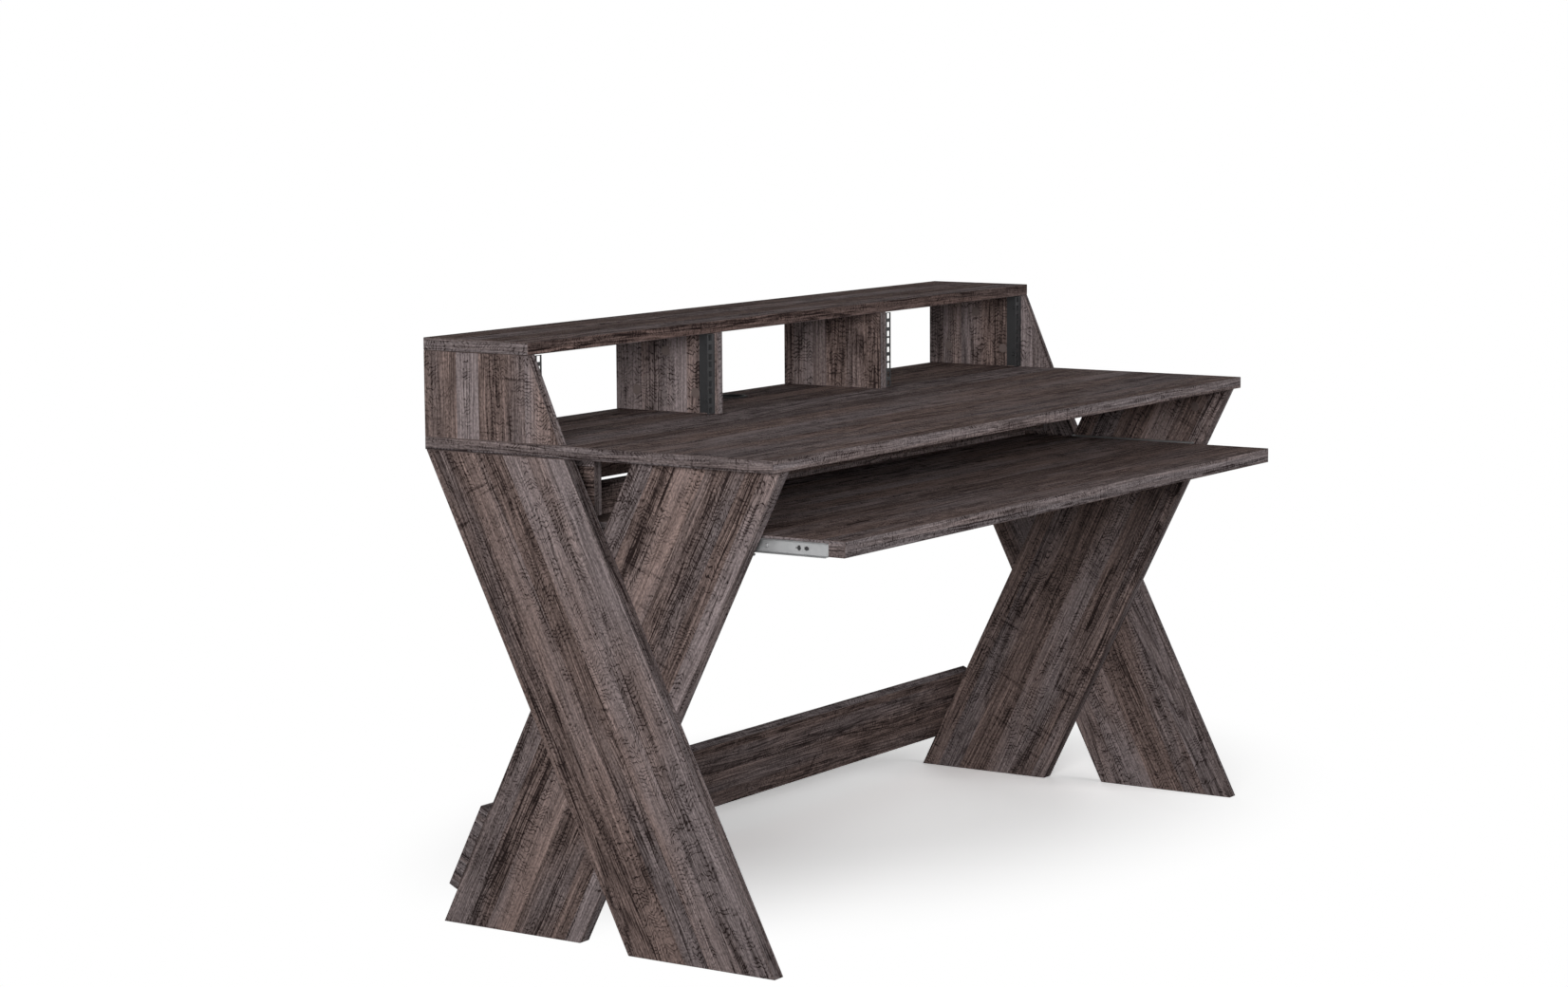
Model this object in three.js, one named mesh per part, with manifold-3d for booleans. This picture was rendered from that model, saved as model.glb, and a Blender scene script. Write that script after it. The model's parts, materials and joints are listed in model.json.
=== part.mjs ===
// Studio desk with crossed legs, a riser with two rack bays, and a keyboard tray on ball bearing slides.
// Millimetres, +Z up, front towards -Y. Every board stands at its real place in the desk's own frame.

import * as THREE from 'three';
import { mergeVertices } from 'three/addons/utils/BufferGeometryUtils.js';
import Module from 'manifold-3d';

const wasm = await Module();
wasm.setup();

// Tabletop
const deskWidth = 1555;
const deskDepth = 654;
const deskHeight = 782;
const topThickness = 20;

// Crossed legs, two boards a side, held together by a hidden stud where they cross
const legThickness = 24;
const legFoot = 270;
const legSetback = 2;
const studDiameter = 8;
const studLength = 34;

// Stretcher on the rear edges of the two inner legs
const stretcherWidth = 150;
const stretcherThickness = 18;
const stretcherLift = 54.5;
const stretcherScrewShares = { low: 0.2, high: 0.8 };

// Riser: shelf, slanted sides and two dividers round the rack bays
const rackUnit = 44.45;
const bayUnits = 3;
const bayHeadroom = 2.65;
const wallThickness = 18;
const shelfThickness = 20;
const shelfDepth = 205;
const sideFootDepth = 264;

// Apron across the back and the side boards that run forward from it
const apronThickness = 18;
const apronHeight = 73;
const apronInset = 80;
const sideBoardThickness = 18;
const sideBoardHeight = 94;
const sideBoardRun = 186.5;

// Keyboard tray, shown pulled out by trayOut, with a low board along its back
const trayThickness = 25;
const trayClearance = 101;
const trayInset = 42;
const trayOut = 128;
const trayBackPlay = 3;
const backBoardThickness = 18;
const backBoardHeight = 51;
const backBoardEndGap = 1.5;

// Ball bearing slides: an outer member on the leg, an inner one on the tray, two rows of balls in a cage
const slideThickness = 12.7;
const slideLength = 250;
const slideSetback = 70;
const slideDrop = 14.7;
const slideSheet = 1.2;
const slideBend = 1.2;
const innerShorter = 8;
const outerLipAngle = 10;
const innerLipAngle = 45;
const ballDiameter = 4.76;
const ballPlay = 0.15;
const ballRowRise = 13;
const ballRowDepth = 6.2;
const ballsPerRow = 6;
const ballPitch = 12;
const cageLength = 80;
const cageSheet = 0.8;
const cageWebDepth = 1.9;
const cageFlangeRise = 1.5;
const cageFlangeReach = 7.7;
const slotLength = 7.9;
const slotWidth = 4.3;
const slotFromFront = 38.2;
const slotPitch = 13.4;
const pilotHole = 2.4;
const pilotSetback = 4.8;
const bumperHeight = 9;
const bumperDepth = 5;
const bumperLength = 6;
const legScrewShares = [0.16, 0.5, 0.84];
const trayScrewShares = [0.45, 0.7, 0.92];

// Rack rails: steel angles with square holes on the 19 inch pattern
const railSheet = 2;
const railSideFlange = 30;
const railSetback = 3;
const railEndGap = 0.5;
const railHole = 9.5;
const railHoleSpan = 465.1;
const railHoleInset = 13.7;
const railHoleEdge = 2.55;
const railHoleLow = 6.35;
const railHolePitch = 15.875;
const railHolesPerUnit = 3;

// Cable outlet with its plastic liner
const outletBore = 50;
const outletWall = 3;
const outletFlange = 3;
const outletFlangeHeight = 1.6;
const outletInset = 50;

// Cam fittings: a disc let into one board pulls on a bolt in the board that it meets
const camDiameter = 15;
const camDepth = 12.5;
const camReach = 34;
const camSlot = 2;
const camSlotLength = 10;
const camBoltDiameter = 6.5;
const camBoltBite = 11;
const legCamSpread = 85;
const wallCamSpread = 60;

// Steel angles that hang the apron and the side boards from the top
const angleLeg = 25;
const angleSheet = 2;
const angleWidth = 30;
const apronAngleShare = 0.45;

// Screws
const screwDiameter = 3.5;
const screwLength = 14;
const screwHead = 6.6;
const screwHeadHeight = 1.9;
const longScrewDiameter = 5;
const longScrewLength = 60;
const longScrewHead = 10;
const longScrewHeadHeight = 3;

// Clearance round a fitted piece, and how far every cutter runs past its board
const fit = 0.3;
const overrun = 5;

// Faces round each kind of turned piece
const screwFaces = 8;
const boltFaces = 8;
const camFaces = 14;
const outletFaces = 28;
const ballFaces = 8;
const bendSteps = 3;
const raceSteps = 6;

// Places worked out from the sizes above
const half = deskWidth / 2;
const backY = deskDepth / 2;
const frontY = -backY;
const underTop = deskHeight - topThickness;
const outerLegInside = half - legThickness;
const innerLegInside = outerLegInside - legThickness;
const legReach = backY - legSetback;
const legLean = (2 * legReach - legFoot) / underTop;
const bayFloor = deskHeight + bayHeadroom / 2;
const shelfUnder = deskHeight + bayUnits * rackUnit + bayHeadroom;
const shelfTop = shelfUnder + shelfThickness;
const shelfFront = backY - shelfDepth;
const bayWidth = railHoleSpan + 2 * railHoleInset;
const bayOutside = half - wallThickness;
const bayInside = bayOutside - bayWidth;
const apronBack = backY - apronInset;
const apronFront = apronBack - apronThickness;
const trayHeight = underTop - trayClearance;
const trayHalf = innerLegInside - slideThickness;
const trayFront = frontY + trayInset - trayOut;
const trayDepth = apronFront - trayBackPlay - frontY - trayInset;
const trayBack = trayFront + trayDepth;
const slideCentre = trayHeight - slideDrop;
const slideFront = frontY + slideSetback;
const slideBack = slideFront + slideLength;
const innerFront = slideFront - trayOut;
const innerLength = slideLength - innerShorter;
const cageMiddle = (slideFront + slideBack - trayOut) / 2;
const sides = { left: -1, right: 1 };

// Finishes
const laminate = new THREE.MeshStandardMaterial({ color: 0x6b5e58, roughness: 0.62, metalness: 0 });
const zinc = new THREE.MeshStandardMaterial({ color: 0xb4b8ba, roughness: 0.35, metalness: 0.9 });
const brightSteel = new THREE.MeshStandardMaterial({ color: 0xd0d3d6, roughness: 0.2, metalness: 1 });
const blackSteel = new THREE.MeshStandardMaterial({ color: 0x1d1d1f, roughness: 0.5, metalness: 0.6 });
const blackPlastic = new THREE.MeshStandardMaterial({ color: 0x141414, roughness: 0.55, metalness: 0 });

// The desk's origin is on the floor, half way between the pulled out tray's front and the back edge
const desk = new THREE.Group();
desk.position.y = -(trayFront + backY) / 2;

function addPart(name, piece, material) {
  const mesh = new THREE.Mesh(piece.isBufferGeometry ? piece : toGeometry(piece), material);
  mesh.name = name;
  desk.add(mesh);
}

// A piece is a closed geometry or a solid. These two turn the one into the other.
function toSolid(piece) {
  if (!piece.isBufferGeometry) return piece;
  const bare = piece.index ? piece.toNonIndexed() : piece.clone();
  bare.deleteAttribute('normal');
  bare.deleteAttribute('uv');
  const merged = mergeVertices(bare);
  const corners = merged.index.array;
  const faces = [];
  for (let i = 0; i < corners.length; i += 3) {
    const [a, b, c] = corners.slice(i, i + 3);
    if (a !== b && b !== c && c !== a) faces.push(a, b, c);
  }
  return new wasm.Manifold(new wasm.Mesh({
    numProp: 3,
    vertProperties: new Float32Array(merged.attributes.position.array),
    triVerts: new Uint32Array(faces),
  }));
}

function toGeometry(solid) {
  const mesh = solid.getMesh();
  const points = new Float32Array(3 * mesh.numVert);
  for (let i = 0; i < mesh.numVert; i += 1) {
    for (let k = 0; k < 3; k += 1) points[3 * i + k] = mesh.vertProperties[mesh.numProp * i + k];
  }
  const geometry = new THREE.BufferGeometry();
  geometry.setAttribute('position', new THREE.BufferAttribute(points, 3));
  geometry.setIndex(new THREE.BufferAttribute(new Uint32Array(mesh.triVerts), 1));
  geometry.computeVertexNormals();
  return geometry;
}

const join = (pieces) => pieces.map(toSolid).reduce((whole, piece) => whole.add(piece));

const cut = (piece, cutters) =>
  cutters.map(toSolid).reduce((rest, cutter) => rest.subtract(cutter), toSolid(piece));

// A box between two opposite corners, given axis by axis in either order
function block(x0, x1, y0, y1, z0, z1) {
  const geometry = new THREE.BoxGeometry(Math.abs(x1 - x0), Math.abs(y1 - y0), Math.abs(z1 - z0));
  geometry.translate((x0 + x1) / 2, (y0 + y1) / 2, (z0 + z1) / 2);
  return geometry;
}

// A board seen from the side: an outline of [y, z] points between the planes x0 and x1
function sideBoard(outline, x0, x1) {
  const shape = new THREE.Shape(outline.map(([y, z]) => new THREE.Vector2(y, z)));
  const geometry = new THREE.ExtrudeGeometry(shape, { depth: Math.abs(x1 - x0), bevelEnabled: false });
  geometry.rotateX(Math.PI / 2);
  geometry.rotateZ(Math.PI / 2);
  geometry.translate(Math.min(x0, x1), 0, 0);
  return geometry;
}

// An L section with its corner at the origin, its legs along +X and +Y times the given signs
function angleSection(legX, legY, sheet, signX = 1, signY = 1) {
  const corners = [[0, 0], [legX, 0], [legX, sheet], [sheet, sheet], [sheet, legY], [0, legY]];
  return new THREE.Shape(corners.map(([x, y]) => new THREE.Vector2(signX * x, signY * y)));
}

// A turned piece: [radius, height] points round a line that starts at the place and runs along the direction
function turned(profile, place, direction, faces) {
  const geometry = new THREE.LatheGeometry(profile.map(([r, h]) => new THREE.Vector2(r, h)), faces);
  const up = new THREE.Vector3(0, 1, 0);
  const turn = new THREE.Quaternion().setFromUnitVectors(up, new THREE.Vector3(...direction).normalize());
  geometry.applyQuaternion(turn);
  geometry.translate(...place);
  return geometry;
}

function rod(diameter, length, place, direction, faces) {
  const r = diameter / 2;
  return turned([[0, 0], [r, 0], [r, length], [0, length]], place, direction, faces);
}

// Small pan head screw: its head sits on the place and its shank goes in along the direction
function panScrew(place, direction) {
  const r = screwDiameter / 2;
  const rim = screwHead / 2;
  return turned([
    [0, -screwHeadHeight], [rim * 2 / 3, -screwHeadHeight], [rim, -screwHeadHeight / 2],
    [rim, 0], [r, 0], [r, screwLength - screwDiameter], [0, screwLength],
  ], place, direction, screwFaces);
}

const panScrewBore = (place, direction) =>
  rod(screwDiameter + 2 * fit, screwLength + fit, place, direction, screwFaces);

// Flat head screw: its head is let in flush with the place. The bore has the fit all round.
const flatScrew = ({ diameter, length, head, headHeight }, place, direction) => turned([
  [0, 0], [head / 2, 0], [diameter / 2, headHeight], [diameter / 2, length - diameter], [0, length],
], place, direction, screwFaces);

const flatScrewBore = ({ diameter, length, head, headHeight }, place, direction) => turned([
  [0, -overrun], [head / 2 + fit, -overrun], [head / 2 + fit, 0],
  [diameter / 2 + fit, headHeight], [diameter / 2 + fit, length + fit], [0, length + fit],
], place, direction, screwFaces);

// Each board gathers the holes that its fittings need, and is cut when it is made at the end
const holes = {};
function drill(board, cutter) {
  holes[board] = [...(holes[board] || []), cutter];
}

// Cam fitting in the face of a board at x = face. inward points into that board, toward is 1 or -1
// along Z and points at the joint, the plane where the mate begins.
function camFitting(name, { board, mate, face, inward, y, joint, toward }) {
  const z = joint - toward * camReach;
  const boltX = face + inward * camDepth / 2;
  const camEdge = camDiameter / 4;
  const disc = rod(camDiameter, camDepth - fit, [face + inward * fit, y, z], [inward, 0, 0], camFaces);
  const slot = block(face, face + inward * camSlot, y - camSlotLength / 2, y + camSlotLength / 2,
    z - camSlot / 2, z + camSlot / 2);
  const bolt = rod(camBoltDiameter, camReach + camBoltBite - camEdge, [boltX, y, z + toward * camEdge],
    [0, 0, toward], boltFaces);
  addPart(name, join([cut(disc, [slot]), bolt]), zinc);

  const bore = camBoltDiameter + 2 * fit;
  const open = [face - inward * overrun, y, z];
  const bite = [boltX, y, joint - toward * overrun];
  drill(board, rod(camDiameter + 2 * fit, camDepth + overrun + fit, open, [inward, 0, 0], camFaces));
  drill(board, rod(bore, camReach + overrun, [boltX, y, z], [0, 0, toward], boltFaces));
  drill(mate, rod(bore, camBoltBite + overrun + fit, bite, [0, 0, toward], boltFaces));
}

// Legs: the outer board rises from the front foot to the back, the inner board the other way
const legOutline = (way) => [
  [-way * legReach, 0],
  [way * (legFoot - legReach), 0],
  [way * legReach, underTop],
  [-way * (legFoot - legReach), underTop],
];
const legTopMiddle = legReach - legFoot / 2;
const legCamY = legTopMiddle - legLean * camReach;

for (const [name, side] of Object.entries(sides)) {
  for (const [end, spread] of [['front', -legCamSpread], ['rear', legCamSpread]]) {
    const common = { mate: 'tabletop', inward: side, joint: underTop, toward: 1 };
    camFitting(`outer_leg_cam_${name}_${end}`,
      { ...common, board: `outer_leg_${name}`, face: side * outerLegInside, y: legCamY + spread });
    camFitting(`inner_leg_cam_${name}_${end}`,
      { ...common, board: `inner_leg_${name}`, face: side * innerLegInside, y: -legCamY + spread });
  }

  const crossing = outerLegInside - studLength / 2;
  const stud = (play) => rod(studDiameter + 2 * play, studLength + 2 * play,
    [side * (crossing - play), 0, underTop / 2], [side, 0, 0], boltFaces);
  addPart(`crossing_stud_${name}`, stud(0), zinc);
  drill(`outer_leg_${name}`, stud(fit));
  drill(`inner_leg_${name}`, stud(fit));
}

// Riser walls: slanted sides and upright dividers, with cam fittings on their bay faces
const hutchSideOutline = [
  [backY, deskHeight],
  [backY - sideFootDepth, deskHeight],
  [shelfFront, shelfUnder],
  [backY, shelfUnder],
];
const shelfMiddle = (shelfFront + backY) / 2;

for (const [name, side] of Object.entries(sides)) {
  const walls = [
    { board: `hutch_side_${name}`, face: side * bayOutside, inward: side },
    { board: `divider_${name}`, face: side * bayInside, inward: -side },
  ];
  for (const wall of walls) {
    const low = { ...wall, mate: 'tabletop', joint: deskHeight, toward: -1 };
    camFitting(`${wall.board}_low_cam_front`, { ...low, y: shelfMiddle - wallCamSpread });
    camFitting(`${wall.board}_low_cam_rear`, { ...low, y: shelfMiddle + wallCamSpread });
    camFitting(`${wall.board}_top_cam`,
      { ...wall, mate: 'monitor_shelf', joint: shelfUnder, toward: 1, y: shelfMiddle });
  }
}

// Rack rail: an angle screwed to a bay wall, its holed flange set back from the shelf's front
function rackRail(name, board, face, inward) {
  const front = shelfFront + railSetback;
  const low = bayFloor + railEndGap;
  const high = bayFloor + bayUnits * rackUnit - railEndGap;
  const flange = railHoleInset + railHole / 2 + railHoleEdge;
  const section = angleSection(flange, railSideFlange, railSheet, -inward);
  const angle = new THREE.ExtrudeGeometry(section, { depth: high - low, bevelEnabled: false });
  angle.translate(face, front, low);

  const holeX = face - inward * railHoleInset;
  const cutters = [];
  for (let i = 0; i < bayUnits * railHolesPerUnit; i += 1) {
    const unit = Math.floor(i / railHolesPerUnit);
    const z = bayFloor + unit * rackUnit + railHoleLow + (i % railHolesPerUnit) * railHolePitch;
    cutters.push(block(holeX - railHole / 2, holeX + railHole / 2,
      front - overrun, front + railSheet + overrun, z - railHole / 2, z + railHole / 2));
  }

  const screws = [];
  for (const z of [low + rackUnit / 2, high - rackUnit / 2]) {
    const place = [face - inward * railSheet, front + (railSheet + railSideFlange) / 2, z];
    screws.push(panScrew(place, [inward, 0, 0]));
    drill(board, panScrewBore(place, [inward, 0, 0]));
  }
  addPart(name, join([cut(angle, cutters), ...screws]), blackSteel);
}

for (const [name, side] of Object.entries(sides)) {
  rackRail(`rack_rail_${name}_outer`, `hutch_side_${name}`, side * bayOutside, side);
  rackRail(`rack_rail_${name}_inner`, `divider_${name}`, side * bayInside, -side);
}

// Slide sections are bent strips of even thickness. Their paths are [depth, rise] points, with the depth
// from the leg's face towards the tray and the rise from the slide's middle line.
function bentStrip(path, sheet) {
  const left = [];
  const right = [];
  path.forEach((point, i) => {
    const before = path[Math.max(i - 1, 0)];
    const after = path[Math.min(i + 1, path.length - 1)];
    const along = new THREE.Vector2(after[0] - before[0], after[1] - before[1]).setLength(sheet / 2);
    left.push(new THREE.Vector2(point[0] - along.y, point[1] + along.x));
    right.push(new THREE.Vector2(point[0] + along.y, point[1] - along.x));
  });
  return new THREE.Shape([...left, ...right.reverse()]);
}

function arc(centreDepth, centreRise, radius, from, to, steps) {
  return Array.from({ length: steps + 1 }, (_, i) => {
    const angle = THREE.MathUtils.degToRad(from + (to - from) * i / steps);
    return [centreDepth + radius * Math.cos(angle), centreRise + radius * Math.sin(angle)];
  });
}

const withLowerHalf = (path) => [...path, ...path.map(([depth, rise]) => [depth, -rise]).reverse()];

// The outer member's lips curl over the balls, the inner member's lips run under them
const raceRadius = (ballDiameter + slideSheet) / 2 + ballPlay;
const outerBend = ballRowRise + raceRadius - slideBend;
const outerPath = withLowerHalf([
  ...arc(ballRowDepth, ballRowRise, raceRadius, outerLipAngle, 90, raceSteps),
  ...arc(slideSheet / 2 + slideBend, outerBend, slideBend, 90, 180, bendSteps),
]);
const innerBend = ballRowRise - raceRadius - slideBend;
const innerPath = withLowerHalf([
  ...arc(ballRowDepth, ballRowRise, raceRadius, 180 + innerLipAngle, 270, raceSteps),
  ...arc(slideThickness - slideSheet / 2 - slideBend, innerBend, slideBend, 90, 0, bendSteps),
]);
const cageBend = ballRowRise + cageFlangeRise - cageSheet;
const cagePath = withLowerHalf([
  [cageFlangeReach, cageBend + cageSheet],
  ...arc(cageWebDepth + cageSheet, cageBend, cageSheet, 90, 180, bendSteps),
]);

// A slide member on one side of the desk, from y0 back to y1
function slideMember(side, path, sheet, y0, y1) {
  const section = bentStrip(path.map(([depth, rise]) => [-side * depth, rise]), sheet);
  const geometry = new THREE.ExtrudeGeometry(section, { depth: y1 - y0, bevelEnabled: false });
  geometry.rotateX(Math.PI / 2);
  geometry.translate(side * innerLegInside, y1, slideCentre);
  return geometry;
}

for (const [name, side] of Object.entries(sides)) {
  const atDepth = (depth) => side * (innerLegInside - depth);

  const legScrew = { diameter: screwDiameter, length: screwLength, head: screwHead, headHeight: slideSheet };
  const legScrews = legScrewShares.map((share) => {
    const place = [atDepth(slideSheet), slideFront + share * slideLength, slideCentre];
    drill(`inner_leg_${name}`, flatScrewBore(legScrew, place, [side, 0, 0]));
    return flatScrew(legScrew, place, [side, 0, 0]);
  });
  const outerMember = slideMember(side, outerPath, slideSheet, slideFront, slideBack);
  addPart(`slide_outer_${name}`, join([outerMember, ...legScrews]), zinc);

  // The front slot lies along the member, the rear one stands upright with a pilot hole behind it
  const slots = [[slotLength, slotWidth], [slotWidth, slotLength]].map(([run, rise], i) => {
    const y = innerFront + slotFromFront + i * slotPitch;
    return block(atDepth(slideThickness + overrun), atDepth(slideThickness - slideSheet - overrun),
      y - run / 2, y + run / 2, slideCentre - rise / 2, slideCentre + rise / 2);
  });
  const pilotY = innerFront + slotFromFront + slotPitch + pilotSetback;
  slots.push(rod(pilotHole, slideSheet + 2 * overrun,
    [atDepth(slideThickness - slideSheet - overrun), pilotY, slideCentre], [-side, 0, 0], boltFaces));
  const trayScrews = trayScrewShares.map((share) => {
    const place = [atDepth(slideThickness - slideSheet), innerFront + share * innerLength, slideCentre];
    drill('keyboard_tray', panScrewBore(place, [-side, 0, 0]));
    return panScrew(place, [-side, 0, 0]);
  });
  const innerMember = slideMember(side, innerPath, slideSheet, innerFront, innerFront + innerLength);
  addPart(`slide_inner_${name}`, join([cut(innerMember, slots), ...trayScrews]), zinc);

  const balls = [];
  for (let i = 0; i < ballsPerRow; i += 1) {
    for (const row of [-1, 1]) {
      const ball = new THREE.SphereGeometry(ballDiameter / 2, ballFaces, ballFaces / 2 + 1);
      ball.rotateX(Math.PI / 2);
      const y = cageMiddle + (i - (ballsPerRow - 1) / 2) * ballPitch;
      ball.translate(atDepth(ballRowDepth), y, slideCentre + row * ballRowRise);
      balls.push(ball);
    }
  }
  const cageFront = cageMiddle - cageLength / 2;
  const cage = slideMember(side, cagePath, cageSheet, cageFront, cageFront + cageLength);
  addPart(`ball_cage_${name}`, join([cage, ...balls]), brightSteel);

  addPart(`slide_bumper_${name}`, block(atDepth(slideSheet), atDepth(slideSheet + bumperDepth),
    slideBack - bumperLength, slideBack,
    slideCentre - bumperHeight / 2, slideCentre + bumperHeight / 2), blackPlastic);
}

// Steel angle under the top at [x, y] on a board's face. turn is the way that the face looks, from +X.
function steelAngle(name, board, x, y, turn) {
  const section = angleSection(angleLeg, angleLeg, angleSheet, 1, -1);
  const angle = new THREE.ExtrudeGeometry(section, { depth: angleWidth, bevelEnabled: false });
  angle.rotateX(Math.PI / 2);
  angle.translate(0, angleWidth / 2, 0);

  const middle = (angleLeg + angleSheet) / 2;
  const screwUp = [[middle, 0, -angleSheet], [0, 0, 1]];
  const screwIn = [[angleSheet, 0, -middle], [-1, 0, 0]];
  const pieces = [angle, panScrew(...screwUp), panScrew(...screwIn)];
  const bores = [panScrewBore(...screwUp), panScrewBore(...screwIn)];
  for (const piece of [...pieces, ...bores]) {
    piece.rotateZ(turn);
    piece.translate(x, y, underTop);
  }
  addPart(name, join(pieces), zinc);
  drill('tabletop', bores[0]);
  drill(board, bores[1]);
}

for (const [name, side] of Object.entries(sides)) {
  steelAngle(`apron_angle_${name}`, 'rear_apron', side * apronAngleShare * half, apronFront, -Math.PI / 2);
  steelAngle(`side_board_angle_${name}`, `side_board_${name}`, side * (trayHalf - sideBoardThickness),
    apronFront - sideBoardRun / 2, side > 0 ? Math.PI : 0);
}

// Stretcher: lies flat on the slanted rear edges of the inner legs. up and out are [y, z] directions,
// up along those edges and out square to them.
const leanAngle = Math.atan(legLean);
const up = [-Math.sin(leanAngle), Math.cos(leanAngle)];
const out = [Math.cos(leanAngle), Math.sin(leanAngle)];
const onEdge = (rise, depth) => [
  legReach - legLean * stretcherLift + rise * up[0] + depth * out[0],
  stretcherLift + rise * up[1] + depth * out[1],
];
const stretcherOutside = fit + stretcherThickness;
const stretcherOutline = [
  onEdge(0, fit),
  onEdge(stretcherWidth, fit),
  onEdge(stretcherWidth, stretcherOutside),
  onEdge(0, stretcherOutside),
];
const longScrew = {
  diameter: longScrewDiameter, length: longScrewLength, head: longScrewHead, headHeight: longScrewHeadHeight,
};
for (const [name, side] of Object.entries(sides)) {
  for (const [end, share] of Object.entries(stretcherScrewShares)) {
    const x = side * (innerLegInside + legThickness / 2);
    const place = [x, ...onEdge(share * stretcherWidth, stretcherOutside)];
    const inward = [0, -out[0], -out[1]];
    addPart(`stretcher_screw_${name}_${end}`, flatScrew(longScrew, place, inward), zinc);
    drill('stretcher', flatScrewBore(longScrew, place, inward));
    drill(`inner_leg_${name}`, flatScrewBore(longScrew, place, inward));
  }
}

// Cable outlet: a flanged liner in a hole in the middle of the top, near its back edge
const outletY = backY - outletInset;
const boreRadius = outletBore / 2;
const linerRadius = boreRadius + outletWall;
const flangeRadius = linerRadius + outletFlange;
addPart('cable_grommet', turned([
  [boreRadius, underTop],
  [linerRadius, underTop],
  [linerRadius, deskHeight],
  [flangeRadius, deskHeight],
  [flangeRadius, deskHeight + outletFlangeHeight / 2],
  [linerRadius + outletFlange / 2, deskHeight + outletFlangeHeight],
  [boreRadius, deskHeight + outletFlangeHeight],
  [boreRadius, underTop],
], [0, outletY, 0], [0, 0, 1], outletFaces), blackPlastic);
drill('tabletop', rod(2 * (linerRadius + fit), topThickness + 2 * overrun,
  [0, outletY, underTop - overrun], [0, 0, 1], outletFaces));

// Boards, each with the holes gathered for it
const addBoard = (name, geometry) => addPart(name, cut(geometry, holes[name] || []), laminate);

const backBoardHalf = trayHalf - sideBoardThickness - backBoardEndGap;
addBoard('tabletop', block(-half, half, frontY, backY, underTop, deskHeight));
addBoard('monitor_shelf', block(-half, half, shelfFront, backY, shelfUnder, shelfTop));
addBoard('rear_apron',
  block(-outerLegInside, outerLegInside, apronFront, apronBack, underTop - apronHeight, underTop));
addBoard('keyboard_tray',
  block(-trayHalf, trayHalf, trayFront, trayBack, trayHeight - trayThickness, trayHeight));
addBoard('tray_back_board', block(-backBoardHalf, backBoardHalf,
  trayBack - backBoardThickness, trayBack, trayHeight, trayHeight + backBoardHeight));
addBoard('stretcher', sideBoard(stretcherOutline, -outerLegInside, outerLegInside));
for (const [name, side] of Object.entries(sides)) {
  addBoard(`outer_leg_${name}`, sideBoard(legOutline(1), side * outerLegInside, side * half));
  addBoard(`inner_leg_${name}`, sideBoard(legOutline(-1), side * innerLegInside, side * outerLegInside));
  addBoard(`hutch_side_${name}`, sideBoard(hutchSideOutline, side * bayOutside, side * half));
  addBoard(`divider_${name}`, block(side * bayInside, side * (bayInside - wallThickness),
    shelfFront, backY, deskHeight, shelfUnder));
  addBoard(`side_board_${name}`, block(side * trayHalf, side * (trayHalf - sideBoardThickness),
    apronFront - sideBoardRun, apronFront, underTop - sideBoardHeight, underTop));
}

export default desk;
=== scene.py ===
"""Studio desk in woodgrain laminate: boards, ball bearing slides, rack rails, fittings, light and camera."""

import json
import math

import bmesh
import bpy
from mathutils import Matrix, Vector

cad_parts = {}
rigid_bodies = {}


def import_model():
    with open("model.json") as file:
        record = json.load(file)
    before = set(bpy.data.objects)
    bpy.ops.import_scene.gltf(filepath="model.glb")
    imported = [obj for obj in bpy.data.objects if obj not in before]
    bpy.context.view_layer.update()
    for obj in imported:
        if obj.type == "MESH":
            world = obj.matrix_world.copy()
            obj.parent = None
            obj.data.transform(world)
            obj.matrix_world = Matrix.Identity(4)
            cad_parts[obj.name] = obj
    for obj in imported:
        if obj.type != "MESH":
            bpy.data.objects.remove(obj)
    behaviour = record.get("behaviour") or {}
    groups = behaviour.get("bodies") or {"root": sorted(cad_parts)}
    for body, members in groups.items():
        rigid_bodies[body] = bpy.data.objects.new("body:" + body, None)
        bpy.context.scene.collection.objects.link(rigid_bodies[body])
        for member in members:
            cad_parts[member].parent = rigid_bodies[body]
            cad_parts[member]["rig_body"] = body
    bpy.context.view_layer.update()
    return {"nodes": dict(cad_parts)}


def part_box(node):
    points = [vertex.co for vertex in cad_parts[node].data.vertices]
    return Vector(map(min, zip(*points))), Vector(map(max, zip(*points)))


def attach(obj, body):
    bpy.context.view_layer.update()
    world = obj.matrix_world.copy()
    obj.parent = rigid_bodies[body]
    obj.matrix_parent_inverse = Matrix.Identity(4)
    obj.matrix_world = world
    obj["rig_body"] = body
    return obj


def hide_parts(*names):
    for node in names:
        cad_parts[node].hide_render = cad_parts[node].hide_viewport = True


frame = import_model()
nodes = frame["nodes"]

MM = 0.001
SIDES = {"left": -1, "right": 1}
UP = Vector((0, 0, 1))
SIDEWAYS = Vector((1, 0, 0))
SAME_PLACE = 0.001 * MM

# Boards: the rounding along their edges, and how far apart two boards lie on the printed sheet
BOARD_ROUNDING = 0.9 * MM
BOARD_ROUNDING_STEPS = 2
SHORTEST_BOARD_EDGE = 15 * MM
PRINT_STEP = Vector((1.37, 0.377))
BAND_SHIFT = Vector((0.31, 0.17, 0.23))
BAND_ACROSS = 0.271
LAMINATE_GLOSS = 0.02
PRINT_BUMP = 0.35
PRINT_RELIEF = 0.2 * MM
SURFACE_BUMP = 0.4

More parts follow.
